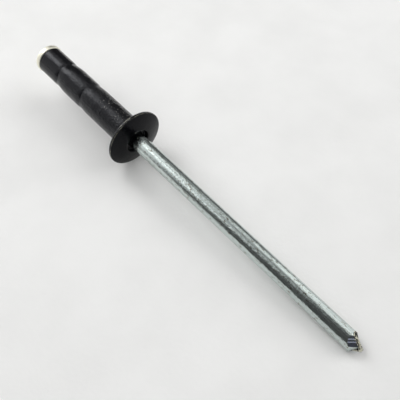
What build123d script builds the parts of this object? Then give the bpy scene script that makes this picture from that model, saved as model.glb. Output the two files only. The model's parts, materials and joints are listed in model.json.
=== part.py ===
from build123d import *
from math import asin, atan2, cos, degrees, hypot, radians, sin, sqrt
import os

# Blind rivet with a crimped body, as it is before it is set. Millimetres.
# Both pieces are turned about one axis through the origin, which is the centre of the
# flange's seating face. The mandrel's point is toward +X and the shank toward -X.
# The rivet lies on its flange's rim and the mandrel's underside, so the axis dips
# toward the point.

# Shank, with lengths from the seating face
shank_diameter = 4.8
body_length = 22.0
middle_step = 0.015  # the middle stretch's radius is smaller by this
tail_step = 0.11  # radius lost again beyond the far crimp
tail_edge_radius = 0.15

# Crimps, each a steep slope on the tail side and a gentle one on the flange side
near_crimp = 10.9
near_crimp_depth = 0.13
far_crimp = 17.2
far_crimp_depth = 0.215
crimp_gentle_run = 2.4
crimp_steep_run = 0.95
crimp_root_radius = 0.4

# Flange
flange_diameter = 9.5
rim_thickness = 0.5  # from the seating face to where the dome springs
rim_back_radius = 0.25
rim_front_radius = 0.08
dome_radius = 14.0
seat_fillet_radius = 0.15

# Recessed mouth round the mandrel
mouth_diameter = 4.0
mouth_depth = 0.65
mouth_draft = 0.15  # how much narrower its floor is, in radius
mouth_edge_chamfer = 0.06

# Bore, squeezed onto the mandrel under each crimp
bore_clearance = 0.06
grip_clearance = 0.02
grip_run = 0.9
grip_ramp = 0.5

# Mandrel
stem_diameter = 2.6
stem_reach = 46.9  # from the seating face to the point's end
head_relief = 0.05  # the head's radius is this much under the shank's
head_band = 0.5
head_edge_radius = 0.1
crown_radius = 3.7  # the head's dome
crown_edge_radius = 0.8
neck_depth = 0.35
neck_offset = 3.0  # from the head's underside to the start of the break neck
neck_run = 0.9

# Pinched point: two broad facets, four flanks beside them and a thin fin of flash
point_roll = 24.0  # turn of the broad facets from level, in degrees
broad_facet_length = 2.1
flank_turn = 60.0  # from each broad facet to the flanks beside it, in degrees
long_flank_length = 1.95
short_flank_length = 1.15
flank_stop = 0.35  # how far before the point's end the flanks meet
fin_thickness = 0.12
fin_end_width = 0.4
fin_base_width = 2.24
long_fin_length = 2.1
short_fin_length = 1.35
facet_overrun = 1.0  # how far each facet's cut runs past the metal

# Radii
shank_radius = shank_diameter / 2
middle_radius = shank_radius - middle_step
tail_radius = middle_radius - tail_step
flange_radius = flange_diameter / 2
mouth_radius = mouth_diameter / 2
stem_radius = stem_diameter / 2
bore_radius = stem_radius + bore_clearance
grip_radius = stem_radius + grip_clearance
head_radius = shank_radius - head_relief
neck_radius = stem_radius - neck_depth

# The dome springs from the rim's front edge
dome_centre = rim_thickness - sqrt(dome_radius**2 - flange_radius**2)
mouth_top = dome_centre + sqrt(dome_radius**2 - mouth_radius**2)
mouth_floor = mouth_top - mouth_depth

# Each facet of the point: its turn, its end, its height over the axis there, its length
broad_end = (stem_reach, fin_thickness / 2, broad_facet_length)
long_flank = (stem_reach - flank_stop, 0, long_flank_length)
short_flank = (stem_reach - flank_stop, 0, short_flank_length)
facets = [
    (point_roll + 90, *broad_end),
    (point_roll + 270, *broad_end),
    (point_roll + 90 - flank_turn, *long_flank),
    (point_roll - 90 + flank_turn, *long_flank),
    (point_roll + 90 + flank_turn, *short_flank),
    (point_roll + 270 - flank_turn, *short_flank),
]

# Underneath, the stem's full radius ends where a broad facet first cuts it
broad_taper = (stem_radius - fin_thickness / 2) / broad_facet_length
shoulder_height = stem_radius * cos(radians(point_roll))
shoulder = stem_reach - (shoulder_height - fin_thickness / 2) / broad_taper

# The dip that brings the rim's front round and the stem's underside down to one level
round_centre_radius = flange_radius - rim_front_radius
round_reach = dome_radius - rim_front_radius
round_centre = dome_centre + sqrt(round_reach**2 - round_centre_radius**2)
contact_run = shoulder - round_centre
contact_rise = round_centre_radius - stem_radius
dip = atan2(contact_rise, contact_run)
dip += asin(rim_front_radius / hypot(contact_run, contact_rise))
axis_direction = (cos(dip), 0, -sin(dip))

upward = Vector(sin(dip), 0, cos(dip))
rivet_axis = Axis((0, 0, 0), axis_direction)


def turned_plane(turn):
    """Give the level plane through the rivet's axis, turned about it by some degrees."""
    normal = upward.rotate(rivet_axis, turn)
    return Plane(origin=(0, 0, 0), x_dir=axis_direction, z_dir=normal)


# Profiles are drawn on a plane turned 30 degrees from level, x along the rivet, y outward
profile_plane = turned_plane(30)


def crimp(bottom, bottom_radius, tail_side_radius, flange_side_radius):
    """Draw one crimp's two slopes, which meet in a valley at its bottom."""
    steep_start = (bottom - crimp_steep_run, tail_side_radius)
    gentle_start = (bottom + crimp_gentle_run, flange_side_radius)
    valley = (bottom, bottom_radius)
    TangentArc(steep_start, valley, tangent=(1, 0))
    TangentArc(gentle_start, valley, tangent=(-1, 0))


def squeezed_land(centre):
    """List the bore's corners where a crimp squeezes it, from the flange side."""
    half_run = grip_run / 2
    return [
        (centre + half_run + grip_ramp, bore_radius),
        (centre + half_run, grip_radius),
        (centre - half_run, grip_radius),
        (centre - half_run - grip_ramp, bore_radius),
    ]


# Body
far_bottom = -far_crimp
near_bottom = -near_crimp
far_bottom_radius = middle_radius - far_crimp_depth
near_bottom_radius = shank_radius - near_crimp_depth

with BuildPart() as rivet_body:
    with BuildSketch(profile_plane) as body_section:
        with BuildLine():
            Line((-body_length, bore_radius), (-body_length, tail_radius))
            Line((-body_length, tail_radius), (far_bottom - crimp_steep_run, tail_radius))
            crimp(far_bottom, far_bottom_radius, tail_radius, middle_radius)
            Line(
                (far_bottom + crimp_gentle_run, middle_radius),
                (near_bottom - crimp_steep_run, middle_radius),
            )
            crimp(near_bottom, near_bottom_radius, middle_radius, shank_radius)
            Line((near_bottom + crimp_gentle_run, shank_radius), (0, shank_radius))
            Line((0, shank_radius), (0, flange_radius))
            Line((0, flange_radius), (rim_thickness, flange_radius))
            RadiusArc((rim_thickness, flange_radius), (mouth_top, mouth_radius), dome_radius)
            Polyline(
                (mouth_top, mouth_radius),
                (mouth_floor, mouth_radius - mouth_draft),
                (mouth_floor, bore_radius),
                *squeezed_land(near_bottom),
                *squeezed_land(far_bottom),
                (-body_length, bore_radius),
            )
        make_face()
        corners = body_section.vertices()
        fillet(corners.sort_by_distance((-body_length, tail_radius))[0], tail_edge_radius)
        corners = body_section.vertices()
        fillet(corners.sort_by_distance((0, shank_radius))[0], seat_fillet_radius)
        corners = body_section.vertices()
        fillet(corners.sort_by_distance((0, flange_radius))[0], rim_back_radius)
        corners = body_section.vertices()
        rim_front = corners.sort_by_distance((rim_thickness, flange_radius))[0]
        fillet(rim_front, rim_front_radius)
        corners = body_section.vertices()
        chamfer(corners.sort_by_distance((mouth_top, mouth_radius))[0], mouth_edge_chamfer)
        for bottom in ((far_bottom, far_bottom_radius), (near_bottom, near_bottom_radius)):
            corners = body_section.vertices()
            fillet(corners.sort_by_distance(bottom)[0], crimp_root_radius)
    revolve(axis=rivet_axis)

rivet_body.part.label = "rivet_body"

# Mandrel
head_underside = -body_length
neck_start = head_underside + neck_offset
crown_sine = (head_radius - crown_edge_radius) / (crown_radius - crown_edge_radius)
crown_turn = degrees(asin(crown_sine))
clear_radius = stem_radius + facet_overrun

with BuildPart() as mandrel:
    with BuildSketch(profile_plane) as mandrel_section:
        with BuildLine():
            crown_edge = JernArc(
                (head_underside - head_band, head_radius),
                (-1, 0),
                crown_edge_radius,
                90 - crown_turn,
            )
            crown = JernArc(crown_edge @ 1, crown_edge % 1, crown_radius, crown_turn)
            Line((head_underside - head_band, head_radius), (head_underside, head_radius))
            Line((head_underside, head_radius), (head_underside, stem_radius))
            Polyline(
                (head_underside, stem_radius),
                (neck_start, stem_radius),
                (neck_start + neck_run / 2, neck_radius),
                (neck_start + neck_run, stem_radius),
                (stem_reach, stem_radius),
                (stem_reach, 0),
                crown @ 1,
            )
        make_face()
        corners = mandrel_section.vertices()
        head_edge = corners.sort_by_distance((head_underside, head_radius))[0]
        fillet(head_edge, head_edge_radius)
    revolve(axis=rivet_axis)

    for turn, end, end_height, length in facets:
        taper = (stem_radius - end_height) / length
        cut_end = stem_reach + facet_overrun
        with BuildSketch(turned_plane(turn)):
            with BuildLine():
                Polyline(
                    (cut_end, end_height - taper * (cut_end - end)),
                    (end - (clear_radius - end_height) / taper, clear_radius),
                    (cut_end, clear_radius),
                    close=True,
                )
            make_face()
        extrude(amount=clear_radius, both=True, mode=Mode.SUBTRACT)

    # The fin of flash stands between the flanks and is the point's edge
    with BuildSketch(turned_plane(point_roll)):
        with BuildLine():
            Polyline(
                (stem_reach, fin_end_width / 2),
                (stem_reach - long_fin_length, fin_base_width / 2),
                (stem_reach - short_fin_length, -fin_base_width / 2),
                (stem_reach, -fin_end_width / 2),
                close=True,
            )
        make_face()
    extrude(amount=fin_thickness / 2, both=True)

mandrel.part.label = "mandrel"

os.makedirs("parts", exist_ok=True)
export_step(rivet_body.part, "parts/rivet_body.step")
export_step(mandrel.part, "parts/mandrel.step")

print("dip of the axis", round(degrees(dip), 3), "degrees")
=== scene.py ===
import json
import math

import bmesh
import bpy
import numpy as np
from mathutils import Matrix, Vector, noise


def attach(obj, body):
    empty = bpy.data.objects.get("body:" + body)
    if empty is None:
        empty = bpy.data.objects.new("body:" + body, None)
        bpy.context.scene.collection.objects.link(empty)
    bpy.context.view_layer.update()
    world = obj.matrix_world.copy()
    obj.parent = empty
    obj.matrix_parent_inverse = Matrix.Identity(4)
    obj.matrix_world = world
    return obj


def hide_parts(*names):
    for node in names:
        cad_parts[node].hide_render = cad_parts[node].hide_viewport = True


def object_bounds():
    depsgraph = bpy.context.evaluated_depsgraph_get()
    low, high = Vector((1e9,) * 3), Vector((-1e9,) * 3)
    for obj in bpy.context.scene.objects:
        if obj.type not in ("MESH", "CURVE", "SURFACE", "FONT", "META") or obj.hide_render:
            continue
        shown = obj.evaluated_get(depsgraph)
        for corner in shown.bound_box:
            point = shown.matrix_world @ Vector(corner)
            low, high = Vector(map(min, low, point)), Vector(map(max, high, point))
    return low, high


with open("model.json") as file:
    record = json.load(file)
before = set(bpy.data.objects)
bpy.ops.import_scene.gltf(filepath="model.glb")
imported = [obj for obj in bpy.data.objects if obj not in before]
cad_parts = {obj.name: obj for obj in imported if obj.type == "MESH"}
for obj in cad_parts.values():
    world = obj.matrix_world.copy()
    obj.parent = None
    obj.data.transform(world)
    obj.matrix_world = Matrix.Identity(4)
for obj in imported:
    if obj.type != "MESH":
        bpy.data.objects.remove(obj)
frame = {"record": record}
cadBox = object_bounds()
mm = 0.001

# The rivet lies with its axis dipping toward the point, as the shank's mount says.
# Lengths are in millimetres, apart from those noted as metres, and x runs along the axis
# from the flange's seating face.
shankMount = next(m for m in frame["record"]["mounts"] if m["name"] == "shank")
alongRivet = -Vector(shankMount["axis"]).normalized()
acrossRivet = Vector((0, 1, 0))
upRivet = alongRivet.cross(acrossRivet)
dipAngle = math.atan2(-alongRivet.z, alongRivet.x)
print("frame loaded, axis dips", round(math.degrees(dipAngle), 2), "degrees")


# Camera

cameraView = {
    "lens": 67.5,
    "sensor": 36.0,
    "azimuth": 48.609,  # degrees, 0 looks along +Y
    "elevation": 49.201,
    "distance": 107.0,
    "aim": (16.472, -0.783, 0.0),
    "clipStart": 0.005,  # metres
}


def addCamera():
    view = cameraView
    data = bpy.data.cameras.new("productCamera")
    data.lens = view["lens"]
    data.sensor_width = view["sensor"]
    data.clip_start = view["clipStart"]
    camera = bpy.data.objects.new("productCamera", data)
    bpy.context.scene.collection.objects.link(camera)
    turn = math.radians(view["azimuth"])
    rise = math.radians(view["elevation"])
    back = Vector((math.sin(turn) * math.cos(rise), -math.cos(turn) * math.cos(rise), math.sin(rise)))
    camera.location = (Vector(view["aim"]) + back * view["distance"]) * mm
    camera.rotation_euler = (math.pi / 2 - rise, 0, turn)
    bpy.context.scene.camera = camera


addCamera()
print("camera set")


# Node helpers

def newMaterial(name):
    material = bpy.data.materials.new(name)
    material.use_nodes = True
    tree = material.node_tree
    return material, tree, tree.nodes["Principled BSDF"]


def addNode(tree, kind, settings=None, inputs=None):
    node = tree.nodes.new(kind)
    for key, value in (settings or {}).items():
        setattr(node, key, value)
    for key, value in (inputs or {}).items():
        if isinstance(value, bpy.types.NodeSocket):
            tree.links.new(value, node.inputs[key])
        else:
            node.inputs[key].default_value = value
    return node


def rivetCoordinates(tree, scale=(1, 1, 1)):
    # Millimetres along, across and up from the rivet's own axis, each times its scale
    place = addNode(tree, "ShaderNodeTexCoord")
    level = addNode(tree, "ShaderNodeMapping", inputs={
        "Vector": place.outputs["Object"], "Rotation": (0, -dipAngle, 0), "Scale": (1 / mm, 1 / mm, 1 / mm)})
    stretch = addNode(tree, "ShaderNodeMapping", inputs={"Vector": level.outputs[0], "Scale": scale})
    return stretch.outputs[0]


def addNoise(tree, coordinates, scale, detail, roughness):
    node = addNode(tree, "ShaderNodeTexNoise", inputs={
        "Vector": coordinates, "Scale": scale, "Detail": detail, "Roughness": roughness})
    return node.outputs[0]


def addStretchedNoise(tree, scales, detail, roughness):
    # Noise with a scale of its own along, across and up from the rivet's axis
    return addNoise(tree, rivetCoordinates(tree, scales), 1.0, detail, roughness)


def remap(tree, value, fromLow, fromHigh, toLow, toHigh):
    node = addNode(tree, "ShaderNodeMapRange", inputs={
        "Value": value, "From Min": fromLow, "From Max": fromHigh, "To Min": toLow, "To Max": toHigh})
    return node.outputs[0]


def alongShare(tree, startX, endX, startValue, endValue):
    # A value that changes between two places along the rivet
    place = addNode(tree, "ShaderNodeSeparateXYZ", inputs={"Vector": rivetCoordinates(tree)})
    return remap(tree, place.outputs[0], startX, endX, startValue, endValue)


def calculate(tree, operation, *values):
    inputs = dict(enumerate(values))
    return addNode(tree, "ShaderNodeMath", {"operation": operation}, inputs).outputs[0]


def multiply(tree, first, second):
    return calculate(tree, "MULTIPLY", first, second)


def mixColour(tree, factor, first, second):
    node = addNode(tree, "ShaderNodeMix", {"data_type": "RGBA"}, {"Factor": factor})
    for socket, colour in ((node.inputs[6], first), (node.inputs[7], second)):
        if isinstance(colour, bpy.types.NodeSocket):
            tree.links.new(colour, socket)
        else:
            socket.default_value = (*colour, 1)
    return node.outputs[2]


def addBump(tree, height, distance, normal=None):
    # At full strength, so that the distance alone sets the height
    inputs = {"Height": height, "Distance": distance * mm, "Strength": 1.0}
    if normal is not None:
        inputs["Normal"] = normal
    return addNode(tree, "ShaderNodeBump", inputs=inputs).outputs[0]


# Finishes
# A plain noise is its scale per millimetre, its detail and its roughness. A stretched one
# has three scales: along, across and up. Over a range of a noise's values its effect changes
# from one end to the other.

blackPaint = {
    "colour": (0.0018, 0.0018, 0.0026),
    "wearAndGlintColour": (0.0035, 0.0035, 0.0048),
    "wearAndGlintRange": (0.45, 0.7),
    "roughness": (0.07, 0.14),
    "roughRange": (0.3, 0.7),
    "gloss": 0.33,
    "glossTint": (0.92, 0.94, 1.0),
    "patches": (0.8, 3.0, 0.6),
    "sand": (4.2, 2.0, 0.55),
    "sandHeight": 0.10,
    "sandRange": (0.35, 0.6),
    "sandShare": (0.45, 1.0),  # of its height, outside the patches and in them
    "smoothTail": (-19, -9, 0.25, 1.0),  # its height fades between these places, by these shares
    "glintSpecks": (4.2, 1.0, 0.5),  # painted glints: pale specks standing in for light sparkling on the top ridge
    "glintRange": (0.66, 0.72),
    "glintColour": (0.22, 0.21, 0.19),
    "glintedFront": (-11, -6, 0.0, 1.0),  # none toward the tail, all toward the flange
    "glintedTop": (2.0, 2.35),  # and along the top only, in height over the axis, where the painted highlight lies
    "dragLines": ((0.15, 3.0, 3.0), 2.0, 0.5),  # lengthwise marks
    "dragHeight": 0.03,
}
flangePaint = dict(
    blackPaint,
    gloss=0.14,
    roughness=(0.10, 0.17),
    sandHeight=0.03,
    dragHeight=0.0,
    glintedFront=(-11, -6, 0.0, 0.0),
)
# Pale paint for the flange's edges: wear and a painted highlight on the front edge, a painted highlight
# alone on the back and mouth stretches
rimWearAndGlint = dict(
    blackPaint,
    colour=(0.01, 0.01, 0.008),
    wearAndGlintColour=(0.30, 0.29, 0.22),
    roughness=(0.2, 0.3),
    patches=(2.2, 3.0, 0.6),
    sandHeight=0.03,
)
bodyPaints = {"blackPaint": blackPaint, "flangePaint": flangePaint, "rimWearAndGlint": rimWearAndGlint}


def makeBlackPaint(name, look):
    material, tree, shader = newMaterial(name)
    plain = rivetCoordinates(tree)
    patches = addNoise(tree, plain, *look["patches"])
    shader.inputs["Specular IOR Level"].default_value = look["gloss"]
    shader.inputs["Specular Tint"].default_value = (*look["glossTint"], 1)
    rough = remap(tree, patches, *look["roughRange"], *look["roughness"])
    tree.links.new(rough, shader.inputs["Roughness"])

    # Pale patches: in the black paint a wear tone, in the rim paint wear and a painted highlight
    wearAndGlint = remap(tree, patches, *look["wearAndGlintRange"], 0, 1)
    colour = mixColour(tree, wearAndGlint, look["colour"], look["wearAndGlintColour"])
    # Pale specks along the top near the flange are a painted highlight: painted glints where light catches
    # the ridge
    glintSpecks = remap(tree, addNoise(tree, plain, *look["glintSpecks"]), *look["glintRange"], 0, 1)
    height = addNode(tree, "ShaderNodeSeparateXYZ", inputs={"Vector": plain}).outputs[2]
    glintSpecks = multiply(tree, glintSpecks, remap(tree, height, *look["glintedTop"], 0, 1))
    glintSpecks = multiply(tree, glintSpecks, alongShare(tree, *look["glintedFront"]))
    colour = mixColour(tree, glintSpecks, colour, look["glintColour"])
    tree.links.new(colour, shader.inputs["Base Color"])

    patchy = remap(tree, patches, *look["sandRange"], *look["sandShare"])
    share = multiply(tree, alongShare(tree, *look["smoothTail"]), patchy)
    sand = multiply(tree, addNoise(tree, plain, *look["sand"]), share)
    dragged = addBump(tree, addStretchedNoise(tree, *look["dragLines"]), look["dragHeight"])
    tree.links.new(addBump(tree, sand, look["sandHeight"], dragged), shader.inputs["Normal"])
    return material


zincPlate = {
    "colour": (0.61, 0.68, 0.655),
    "dullColour": (0.45, 0.505, 0.495),
    "roughness": (0.11, 0.22),
    "clouds": (1.6, 4.0, 0.6),
    "cloudRange": (0.3, 0.7),
    "lines": ((0.08, 3.6, 3.6), 3.0, 0.6),  # left by drawing the wire
    "lineRange": (0.4, 0.65),
    "lineHeight": 0.014,
    "bands": ((0.05, 2.2, 2.2), 2.0, 0.5),
    "bandHeight": 0.012,
    "specks": ((1.8, 3.6, 3.6), 2.0, 0.6),
    "speckRange": (0.57, 0.72),
    "speckHeight": 0.025,
    "speckColour": (0.22, 0.20, 0.16),
    "headRun": (-21.95, -21.9),  # the head's finish ends here, just inside the body
    "warmHead": (0.92, 0.90, 0.77),
    "headRoughness": 0.30,  # more than the drawn wire's
}


def makeZincPlate():
    look = zincPlate
    material, tree, shader = newMaterial("zincPlate")
    shader.inputs["Metallic"].default_value = 1.0
    lines = addStretchedNoise(tree, *look["lines"])
    bands = addStretchedNoise(tree, *look["bands"])
    specks = addStretchedNoise(tree, *look["specks"])
    clouds = addNoise(tree, rivetCoordinates(tree), *look["clouds"])

    rough = remap(tree, clouds, *look["cloudRange"], *look["roughness"])
    headRoughness = alongShare(tree, *look["headRun"], look["headRoughness"], 0)
    tree.links.new(calculate(tree, "ADD", rough, headRoughness), shader.inputs["Roughness"])

    dull = remap(tree, lines, *look["lineRange"], 0, 1)
    colour = mixColour(tree, dull, look["colour"], look["dullColour"])
    specked = remap(tree, specks, *look["speckRange"], 0, 1)
    colour = mixColour(tree, specked, colour, look["speckColour"])
    colour = mixColour(tree, alongShare(tree, *look["headRun"], 1, 0), colour, look["warmHead"])
    tree.links.new(colour, shader.inputs["Base Color"])

    banded = addBump(tree, bands, look["bandHeight"])
    lined = addBump(tree, lines, look["lineHeight"], banded)
    tree.links.new(addBump(tree, specks, look["speckHeight"], lined), shader.inputs["Normal"])
    return material


pinchedSteel = {
    "colour": (0.42, 0.46, 0.62),
    "roughness": 0.16,
    "clouds": (3.0, 2.0, 0.5),
    "cloudRange": (0.45, 0.65),
    "rippleSpacing": 0.3832,
    "rippleTurn": (0.598, -0.514, -0.615),  # along, across and up
    "rippleShare": (0.5, 1.0),  # the part of each wave that stands up
    "rippleHeight": 0.026,
    "rippleRun": (26.36, 27.06),  # the stretch that holds them, measured along that turn
    "rippleEase": 0.03,  # they rise and fade over this much to each side of the stretch's ends
}


def makePinchedSteel():
    look = pinchedSteel
    material, tree, shader = newMaterial("pinchedSteel")
    shader.inputs["Metallic"].default_value = 1.0
    shader.inputs["Roughness"].default_value = look["roughness"]
    plain = rivetCoordinates(tree)
    clouds = remap(tree, addNoise(tree, plain, *look["clouds"]), *look["cloudRange"], 0, 1)
    colour = mixColour(tree, clouds, look["colour"], zincPlate["dullColour"])
    tree.links.new(colour, shader.inputs["Base Color"])

    turnInputs = {0: plain, 1: look["rippleTurn"]}
    run = addNode(tree, "ShaderNodeVectorMath", {"operation": "DOT_PRODUCT"}, turnInputs).outputs["Value"]
    wave = calculate(tree, "SINE", multiply(tree, run, 2 * math.pi / look["rippleSpacing"]))
    ridges = remap(tree, wave, *look["rippleShare"], 0, 1)
    start, end = look["rippleRun"]
    ease = look["rippleEase"]
    started = remap(tree, run, start - ease, start + ease, 0, 1)
    unfinished = remap(tree, run, end - ease, end + ease, 1, 0)
    ripples = multiply(tree, ridges, multiply(tree, started, unfinished))
    tree.links.new(addBump(tree, ripples, look["rippleHeight"]), shader.inputs["Normal"])
    return material


shearedSteel = {
    "bright": (0.95, 0.93, 0.76),
    "dark": (0.012, 0.012, 0.008),
    "metallic": 0.9,
    "roughness": 0.45,
    "stretch": (0.7, 1, 1),  # of the grain, along, across and up
    "grain": (4.2, 3.0, 0.6),
    "grainRange": (0.54, 0.59),  # where it turns from dark to bright
    "grainHeight": 0.05,
}
flashSteel = dict(shearedSteel, bright=(0.98, 0.96, 0.80), grainRange=(0.45, 0.50))


def makeShearedSteel(name, look):
    material, tree, shader = newMaterial(name)
    shader.inputs["Metallic"].default_value = look["metallic"]
    shader.inputs["Roughness"].default_value = look["roughness"]
    grain = addNoise(tree, rivetCoordinates(tree, look["stretch"]), *look["grain"])
    colour = mixColour(tree, remap(tree, grain, *look["grainRange"], 0, 1), look["dark"], look["bright"])
    tree.links.new(colour, shader.inputs["Base Color"])
    tree.links.new(addBump(tree, grain, look["grainHeight"]), shader.inputs["Normal"])
    return material


# Turned shapes

def straight(start, end, step):
    # Points from start up to but without end
    count = max(1, round(math.dist(start, end) / step))
    return [(start[0] + (end[0] - start[0]) * i / count, start[1] + (end[1] - start[1]) * i / count)
            for i in range(count)]


def rounded(centre, radius, startAngle, endAngle, step):
    # Points along an arc, angles in degrees from the rivet's axis direction
    count = max(2, round(radius * math.radians(abs(endAngle - startAngle)) / step))
    angles = [math.radians(startAngle + (endAngle - startAngle) * i / count) for i in range(count)]
    return [(centre[0] + radius * math.cos(a), centre[1] + radius * math.sin(a)) for a in angles]


def turnedMesh(name, profile, sides, radiusAt, closed):
    # A ring of points at each profile point, angles from straight up toward the camera's side
    turns = np.arange(sides) * 2 * math.pi / sides
    vertices = []
    for x, radius in profile:
        for turn, r in zip(turns, radiusAt(x, radius, turns)):
            place = alongRivet * x + upRivet * (r * math.cos(turn)) - acrossRivet * (r * math.sin(turn))
            vertices.append(place * mm)
    rings = len(profile)
    faces = []
    for i in range(rings if closed else rings - 1):
        here, there = i * sides, (i + 1) % rings * sides
        for j in range(sides):
            k = (j + 1) % sides
            faces.append((here + j, here + k, there + k, there + j))
    if not closed:
        faces.append(tuple(range(sides))[::-1])
        faces.append(tuple((rings - 1) * sides + j for j in range(sides)))
    mesh = bpy.data.meshes.new(name)
    mesh.from_pydata(vertices, [], faces)
    mesh.validate()
    mesh.update()
    for face in mesh.polygons:
        face.use_smooth = True
    piece = bpy.data.objects.new(name, mesh)
    bpy.context.scene.collection.objects.link(piece)
    return piece


# Rivet body

rivetBody = {
    "sides": 240,
    "length": 22.0,
    "shankRadius": 2.4,
    "middleRadius": 2.385,
    "tailRadius": 2.275,
    "tailEdge": 0.15,
    "nearCrimp": (-10.9, 2.27),  # place and radius at its bottom
    "farCrimp": (-17.2, 2.17),
    "gentleRun": 2.4,
    "steepRun": 0.95,
    "crimpWander": 0.16,  # how far a crimp strays along the rivet, slowly round it
    "wanderScale": (0.05, 1.3),  # along and round the rivet
    "crimpRagged": 0.10,  # and in short steps
    "raggedScale": (0.8, 5),
    "seatFillet": 0.15,
    "flangeRadius": 4.748,  # a hair under the CAD's 4.75, so the paint stays inside its box
    "rimThickness": 0.5,
    "rimBack": 0.25,
    "rimFront": 0.08,
    "domeRadius": 14.0,
    "mouthRadius": 2.0,
    "mouthDepth": 0.65,
    "mouthDraft": 0.15,
    "mouthEdge": 0.08,  # from the mouth's radius out to where the dome ends
    "mouthLip": ((-0.02, 0.03), (-0.09, -0.01)),  # its rounded edge, along and out from the sharp corner
    "boreRadius": 1.36,
    "peelSize": 0.30,
    "peelHeight": 0.0035,
    "peelSink": 0.6,  # share of that height by which the paint lies lower, to stay inside the CAD's box
    "skin": 0.01,  # a point this far out from the bore is painted
    # Where pale paint is laid as a painted highlight, for light caught on the flange's back edge
    # and on the mouth's edge, as turns in degrees from straight up
    "glintBack": (6, 34),
    "glintMouth": (-8, 14),
    "glintMouthBand": (0.12, 0.10),  # down from the mouth's top, and out from its radius
    "flangeMargin": 0.05,  # the flange's paint starts this far out from the bore
    # Spacing of the profile's points
    "steps": {
        "tailEnd": 0.25,
        "tailEdge": 0.04,
        "shank": 0.1,
        "seatFillet": 0.05,
        "seat": 0.15,
        "rimBack": 0.045,
        "rim": 0.06,
        "rimFront": 0.02,
        "dome": 0.08,
        "mouthLip": 0.04,
        "mouthWall": 0.1,
        "mouthFloor": 0.12,
        "bore": 3.0,
    },
}


def shankRadiusAt(x):
    # The shank's three stretches and the two slopes of each crimp
    shape = rivetBody
    nearPlace, nearRadius = shape["nearCrimp"]
    farPlace, farRadius = shape["farCrimp"]
    levels = ((farPlace, farRadius, shape["tailRadius"], shape["middleRadius"]),
              (nearPlace, nearRadius, shape["middleRadius"], shape["shankRadius"]))
    for place, bottom, tailSide, flangeSide in levels:
        if x < place:
            into = max(0, 1 - (place - x) / shape["steepRun"])
            return tailSide - (tailSide - bottom) * into ** 2
        if x < place + shape["gentleRun"]:
            into = 1 - (x - place) / shape["gentleRun"]
            return flangeSide - (flangeSide - bottom) * into ** 2
    return shape["shankRadius"]


def flangePlaces():
    # Where the dome and the rim's front round have their centres, and the mouth's top
    shape = rivetBody
    dome, flange, front = shape["domeRadius"], shape["flangeRadius"], shape["rimFront"]
    domeCentre = shape["rimThickness"] - math.sqrt(dome ** 2 - flange ** 2)
    frontCentre = domeCentre + math.sqrt((dome - front) ** 2 - (flange - front) ** 2)
    mouthTop = domeCentre + math.sqrt(dome ** 2 - shape["mouthRadius"] ** 2)
    return domeCentre, frontCentre, mouthTop


def shankProfile():
    # From the bore at the tail's end, along the outside, to the flange's seating face
    shape = rivetBody
    steps = shape["steps"]
    length, tail, edge = shape["length"], shape["tailRadius"], shape["tailEdge"]
    shank, fillet = shape["shankRadius"], shape["seatFillet"]
    profile = straight((-length, shape["boreRadius"]), (-length, tail - edge), steps["tailEnd"])
    profile += rounded((-length + edge, tail - edge), edge, 180, 90, steps["tailEdge"])
    shankRun = straight((-length + edge, tail), (-fillet, shank), steps["shank"])
    profile += [(x, shankRadiusAt(x)) for x, radius in shankRun]
    profile += rounded((-fillet, shank + fillet), fillet, 270, 360, steps["seatFillet"])
    return profile


def flangeProfile():
    # From the seating face, round the rim and over the dome, to the mouth and back down the bore
    shape = rivetBody
    steps = shape["steps"]
    domeCentre, frontCentre, mouthTop = flangePlaces()
    dome, flange = shape["domeRadius"], shape["flangeRadius"]
    back, front = shape["rimBack"], shape["rimFront"]
    mouth, bore = shape["mouthRadius"], shape["boreRadius"]
    rimJoin = math.degrees(math.atan2(flange - front, frontCentre - domeCentre))
    mouthJoin = math.degrees(math.asin((mouth + shape["mouthEdge"]) / dome))
    lipTop, lipFoot = [(mouthTop + along, mouth + out) for along, out in shape["mouthLip"]]
    floorEdge = (mouthTop - shape["mouthDepth"], mouth - shape["mouthDraft"])
    floorBore = (mouthTop - shape["mouthDepth"], bore)
    profile = straight((0, shape["shankRadius"] + shape["seatFillet"]), (0, flange - back), steps["seat"])
    profile += rounded((back, flange - back), back, 180, 90, steps["rimBack"])
    profile += straight((back, flange), (frontCentre, flange), steps["rim"])
    profile += rounded((frontCentre, flange - front), front, 90, rimJoin, steps["rimFront"])
    profile += rounded((domeCentre, 0), dome, rimJoin, mouthJoin, steps["dome"])
    profile += straight(lipTop, lipFoot, steps["mouthLip"])
    profile += straight(lipFoot, floorEdge, steps["mouthWall"])
    profile += straight(floorEdge, floorBore, steps["mouthFloor"])
    profile += straight(floorBore, (-shape["length"], bore), steps["bore"])
    return profile


def seamlessNoise(x, turn, scales):
    along, across = scales
    return noise.noise(Vector((x * along, across * math.cos(turn), across * math.sin(turn))))


def bodyRadiusAt(x, radius, turns):
    # One ring, with the crimps' ragged edges and the paint's unevenness
    shape = rivetBody
    painted = radius > shape["boreRadius"] + shape["skin"]
    onShank = painted and -shape["length"] + shape["tailEdge"] < x < -shape["seatFillet"]
    result = []
    for turn in turns:
        place = Vector((x, radius * math.cos(turn), radius * math.sin(turn)))
        r = radius
        if onShank:
            wander = shape["crimpWander"] * seamlessNoise(x, turn, shape["wanderScale"])
            ragged = shape["crimpRagged"] * seamlessNoise(x, turn, shape["raggedScale"])
            r = shankRadiusAt(x + wander + ragged)
        if painted:
            r += shape["peelHeight"] * (noise.noise(place / shape["peelSize"]) - shape["peelSink"])
        result.append(r)
    return result


def within(value, limits):
    return limits[0] < value < limits[1]


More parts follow.
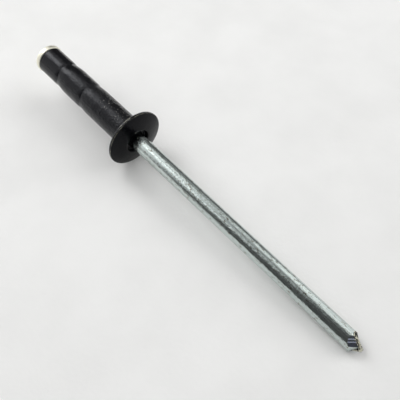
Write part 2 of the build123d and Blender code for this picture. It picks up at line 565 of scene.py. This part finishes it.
def paintRivetBody(mesh):
    # The flange has a paint of its own. Pale paint on its front edge is partly wear and partly a painted
    # highlight, and on short stretches of the back edge and the mouth's edge it is a painted highlight
    shape = rivetBody
    domeCentre, frontCentre, mouthTop = flangePlaces()
    flange, back, front = shape["flangeRadius"], shape["rimBack"], shape["rimFront"]
    bandDepth, bandWidth = shape["glintMouthBand"]
    slots = {}
    for name, look in bodyPaints.items():
        slots[name] = len(mesh.materials)
        mesh.materials.append(makeBlackPaint(name, look))
    for face in mesh.polygons:
        x = face.center.dot(alongRivet) / mm
        radius = (face.center / mm - alongRivet * x).length
        turn = math.degrees(math.atan2(-face.center.dot(acrossRivet), face.center.dot(upRivet)))
        onFront = x > frontCentre and radius > flange - front
        # Stretches of the back edge and the mouth's edge where light catches get pale paint, a painted
        # highlight
        onBack = 0 < x < back and radius > flange - back and within(turn, shape["glintBack"])
        byMouth = x > mouthTop - bandDepth and radius < shape["mouthRadius"] + bandWidth
        if onFront or onBack or byMouth and within(turn, shape["glintMouth"]):
            face.material_index = slots["rimWearAndGlint"]
        elif x > frontCentre and radius > shape["boreRadius"] + shape["flangeMargin"]:
            face.material_index = slots["flangePaint"]


def makeRivetBody():
    profile = shankProfile() + flangeProfile()
    piece = turnedMesh("rivetBody", profile, rivetBody["sides"], bodyRadiusAt, True)
    paintRivetBody(piece.data)
    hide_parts("rivet_body")
    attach(piece, "root")
    print("rivet body", len(piece.data.polygons), "faces")


makeRivetBody()


# Mandrel

mandrelWire = {
    "sides": 168,
    "radius": 1.2995,  # this and the head's band are a hair under the CAD's, to stay inside its box
    "reach": 46.9,
    "tail": -22.0,
    "headRadius": 2.35,
    "headBand": 0.495,
    "headEdge": 0.1,
    "crownRadius": 3.7,
    "crownEdge": 0.8,
    "crownStart": 179.4,  # degrees, just off the axis, where a small flat face closes the crown
    # Each facet's turn from straight up, its end, its height over the axis there, its length
    "broadFacets": ((24, 46.9, 0.06, 2.1), (204, 46.9, 0.06, 2.1)),
    "longFlanks": ((-36, 46.55, 0, 1.95), (-96, 46.55, 0, 1.95)),
    "shortFlanks": ((84, 46.55, 0, 1.15), (144, 46.55, 0, 1.15)),
    "cutReach": 1e-8,  # metres, how near a plane a point counts as on it
    "finTurn": -66,
    "finOutline": ((46.9, 0.2), (44.8, 1.12), (45.55, -1.12), (46.9, -0.2)),
    "finThickness": 0.12,
    # Spacing of the profile's points
    "steps": {
        "crown": 0.06,
        "headBand": 0.1,
        "headEdge": 0.04,
        "underside": 0.25,
        "hidden": 4.0,
        "stem": 0.22,
    },
}
# The material each face of the point takes, as its place in the piece's list
pointFinishes = {"shortFlanks": 0, "longFlanks": 1, "broadFacets": 2, "fin": 3}


def outward(turn):
    # Away from the rivet's axis, in degrees from straight up toward the camera's side
    return upRivet * math.cos(math.radians(turn)) - acrossRivet * math.sin(math.radians(turn))


def cutFacet(point, facet, finish):
    # Cuts the metal outside one plane away and closes the cut
    turn, end, height, length = facet
    taper = (mandrelWire["radius"] - height) / length
    facing = (outward(turn) + alongRivet * taper).normalized()
    place = (alongRivet * end + outward(turn) * height) * mm
    cut = bmesh.ops.bisect_plane(
        point, geom=point.verts[:] + point.edges[:] + point.faces[:], dist=mandrelWire["cutReach"],
        plane_co=place, plane_no=facing, clear_outer=True)
    rim = [edge for edge in cut["geom_cut"] if isinstance(edge, bmesh.types.BMEdge)]
    for face in bmesh.ops.edgeloop_fill(point, edges=rim)["faces"]:
        face.material_index = finish
        face.smooth = False


def addFin(point, finish):
    # The thin fin of flash, laid between the flanks
    shape = mandrelWire
    across = outward(shape["finTurn"])
    thick = outward(shape["finTurn"] + 90) * (shape["finThickness"] / 2)
    layers = []
    for side in (1, -1):
        places = [alongRivet * x + across * y + thick * side for x, y in shape["finOutline"]]
        layers.append([point.verts.new(place * mm) for place in places])
    fin = [point.faces.new(layers[0]), point.faces.new(layers[1][::-1])]
    corners = len(shape["finOutline"])
    for i in range(corners):
        k = (i + 1) % corners
        fin.append(point.faces.new((layers[0][k], layers[0][i], layers[1][i], layers[1][k])))
    for face in fin:
        face.material_index = finish


def pinchPoint(mesh):
    point = bmesh.new()
    point.from_mesh(mesh)
    for facets in ("shortFlanks", "longFlanks", "broadFacets"):
        for facet in mandrelWire[facets]:
            cutFacet(point, facet, pointFinishes[facets])
    addFin(point, pointFinishes["fin"])
    bmesh.ops.recalc_face_normals(point, faces=point.faces[:])
    point.to_mesh(mesh)
    point.free()


def mandrelProfile():
    # From the middle of the head's crown to the point's end. The break neck is hidden and left out.
    shape = mandrelWire
    steps = shape["steps"]
    tail, radius, reach = shape["tail"], shape["radius"], shape["reach"]
    headRadius, headEdge = shape["headRadius"], shape["headEdge"]
    crown, crownEdge = shape["crownRadius"], shape["crownEdge"]
    crownTurn = math.degrees(math.asin((headRadius - crownEdge) / (crown - crownEdge)))
    edgeCentre = (tail - shape["headBand"], headRadius - crownEdge)
    crownCentre = (edgeCentre[0] + (crown - crownEdge) * math.cos(math.radians(crownTurn)), 0)
    profile = rounded(crownCentre, crown, shape["crownStart"], 180 - crownTurn, steps["crown"])
    profile += rounded(edgeCentre, crownEdge, 180 - crownTurn, 90, steps["crown"])
    bandStart, bandEnd = (tail - shape["headBand"], headRadius), (tail - headEdge, headRadius)
    profile += straight(bandStart, bandEnd, steps["headBand"])
    profile += rounded((tail - headEdge, headRadius - headEdge), headEdge, 90, 0, steps["headEdge"])
    profile += straight((tail, headRadius - headEdge), (tail, radius), steps["underside"])
    profile += straight((tail, radius), (0, radius), steps["hidden"])
    profile += straight((0, radius), (reach, radius), steps["stem"])
    profile.append((reach, radius))
    return profile


def evenRing(x, radius, turns):
    return [radius] * len(turns)


def makeMandrelWire():
    piece = turnedMesh("mandrelWire", mandrelProfile(), mandrelWire["sides"], evenRing, False)
    piece.data.materials.append(makeZincPlate())
    piece.data.materials.append(makeShearedSteel("shearedSteel", shearedSteel))
    piece.data.materials.append(makePinchedSteel())
    piece.data.materials.append(makeShearedSteel("flashSteel", flashSteel))
    pinchPoint(piece.data)
    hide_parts("mandrel")
    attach(piece, "root")
    print("mandrel", len(piece.data.polygons), "faces")


makeMandrelWire()


# Floor, light and air

paperFloor = {
    "size": 4.0,  # metres
    "colour": (0.89, 0.89, 0.88),
    "shade": (0.85, 0.85, 0.84),
    "roughness": 0.9,
    "gloss": 0.2,
    # Noise scales here are per metre
    "mottle": (90.0, 4.0, 0.5),
    "mottleRange": (0.35, 0.65),
    "tooth": (1500.0, 3.0, 0.6),
    "toothHeight": 0.03,
}


def makePaper():
    look = paperFloor
    material, tree, shader = newMaterial("paper")
    shader.inputs["Roughness"].default_value = look["roughness"]
    shader.inputs["Specular IOR Level"].default_value = look["gloss"]
    place = addNode(tree, "ShaderNodeTexCoord").outputs["Object"]
    mottle = remap(tree, addNoise(tree, place, *look["mottle"]), *look["mottleRange"], 0, 1)
    tree.links.new(mixColour(tree, mottle, look["colour"], look["shade"]), shader.inputs["Base Color"])
    tooth = addNoise(tree, place, *look["tooth"])
    tree.links.new(addBump(tree, tooth, look["toothHeight"]), shader.inputs["Normal"])
    return material


def makePaperFloor():
    half = paperFloor["size"] / 2
    level = cadBox[0][2]
    corners = [(-half, -half, level), (half, -half, level), (half, half, level), (-half, half, level)]
    mesh = bpy.data.meshes.new("paperFloor")
    mesh.from_pydata(corners, [], [(0, 1, 2, 3)])
    mesh.materials.append(makePaper())
    floor = bpy.data.objects.new("paperFloor", mesh)
    bpy.context.scene.collection.objects.link(floor)


makePaperFloor()
print("floor laid")

# Each panel fills the directions given, in degrees: azimuth runs from +X toward +Y.
# Distances here are in metres. Level is the brightness of a panel's face, where a lit white
# sheet of paper is about 1. A panel that isn't in the gloss lights without being reflected.
softPanels = {
    "leftPanel": {"azimuth": (-163, -119), "elevation": (0, 63), "distance": 0.50, "level": 0.72},
    "tailPanel": {"azimuth": (174, 198), "elevation": (0, 55), "distance": 0.50, "level": 2.8},
    "sidePanel": {"azimuth": (44, 101.5), "elevation": (0, 64), "distance": 0.50, "level": 1.0},
    "peakPanel": {"azimuth": (90, 112), "elevation": (64, 82), "distance": 0.50, "level": 0.6},
    "windowPanel": {"azimuth": (44, 80), "elevation": (10, 60), "distance": 0.48, "level": 0.9},
    "topPanel": {"azimuth": (105, 195), "elevation": (60, 78), "distance": 0.50, "level": 0.28},
    "shoulderPanel": {"azimuth": (-165, -119), "elevation": (48, 64), "distance": 0.49, "level": 0.6},
    "crestPanel": {"azimuth": (140, 197), "elevation": (44, 67), "distance": 0.49, "level": 0.90},
    "crownPanel": {"azimuth": (-167, -120), "elevation": (62, 80), "distance": 0.50, "level": 0.38},
    "rightPanel": {"azimuth": (112, 123), "elevation": (26, 60), "distance": 0.50, "level": 0.30},
    "fillPanel": {
        "azimuth": (-130, -50), "elevation": (25, 88), "distance": 0.36, "level": 0.9, "inGloss": False},
    "overheadPanel": {
        "azimuth": (-50, 50), "elevation": (40, 140), "distance": 0.50, "level": 0.14, "inGloss": False},
}
wattsPerLevel = math.pi  # lamp power for one square metre of panel at level 1
airLevel = 0.13
darkScreen = {
    "azimuth": (-118, 0),
    "elevation": (0, 74),
    "distance": 0.40,
    "steps": 16,
    "colour": (0.10, 0.10, 0.10),
    "roughness": 1.0,
}


def directionTo(azimuth, elevation):
    a, e = math.radians(azimuth), math.radians(elevation)
    return Vector((math.cos(a) * math.cos(e), math.sin(a) * math.cos(e), math.sin(e)))


def addSoftPanel(name, panel):
    lowTurn, highTurn = panel["azimuth"]
    lowRise, highRise = panel["elevation"]
    distance = panel["distance"]
    halfTurn = math.radians(highTurn - lowTurn) / 2 * math.cos(math.radians(lowRise))
    halfRise = math.radians(highRise - lowRise) / 2
    data = bpy.data.lights.new(name, "AREA")
    data.shape = "RECTANGLE"
    data.size = 2 * distance * math.tan(halfTurn)
    data.size_y = 2 * distance * math.tan(halfRise)
    data.energy = panel["level"] * data.size * data.size_y * wattsPerLevel
    lamp = bpy.data.objects.new(name, data)
    bpy.context.scene.collection.objects.link(lamp)
    direction = directionTo((lowTurn + highTurn) / 2, (lowRise + highRise) / 2)
    lamp.location = direction * distance
    lamp.rotation_euler = direction.to_track_quat("Z", "Y").to_euler()
    lamp.visible_camera = False
    lamp.visible_glossy = panel.get("inGloss", True)


def addDarkScreen():
    # A curved screen that the metal reflects and the camera doesn't see
    screen = darkScreen
    steps = screen["steps"]
    lowTurn, highTurn = screen["azimuth"]
    lowRise, highRise = screen["elevation"]
    vertices, faces = [], []
    for i in range(steps + 1):
        for j in range(steps + 1):
            turn = lowTurn + (highTurn - lowTurn) * i / steps
            rise = lowRise + (highRise - lowRise) * j / steps
            vertices.append(directionTo(turn, rise) * screen["distance"])
            if i and j:
                corner = i * (steps + 1) + j
                faces.append((corner, corner - 1, corner - steps - 2, corner - steps - 1))
    mesh = bpy.data.meshes.new("darkScreen")
    mesh.from_pydata(vertices, [], faces)
    material, tree, shader = newMaterial("darkScreen")
    shader.inputs["Base Color"].default_value = (*screen["colour"], 1)
    shader.inputs["Roughness"].default_value = screen["roughness"]
    mesh.materials.append(material)
    flag = bpy.data.objects.new("darkScreen", mesh)
    bpy.context.scene.collection.objects.link(flag)
    flag.visible_camera = False


def setAir():
    world = bpy.data.worlds.new("studioAir")
    bpy.context.scene.world = world
    world.use_nodes = True
    background = world.node_tree.nodes["Background"]
    background.inputs["Color"].default_value = (1, 1, 1, 1)
    background.inputs["Strength"].default_value = airLevel


for panelName, panel in softPanels.items():
    addSoftPanel(panelName, panel)
addDarkScreen()
setAir()
bpy.context.scene.view_settings.view_transform = "Standard"
print("light and air set")
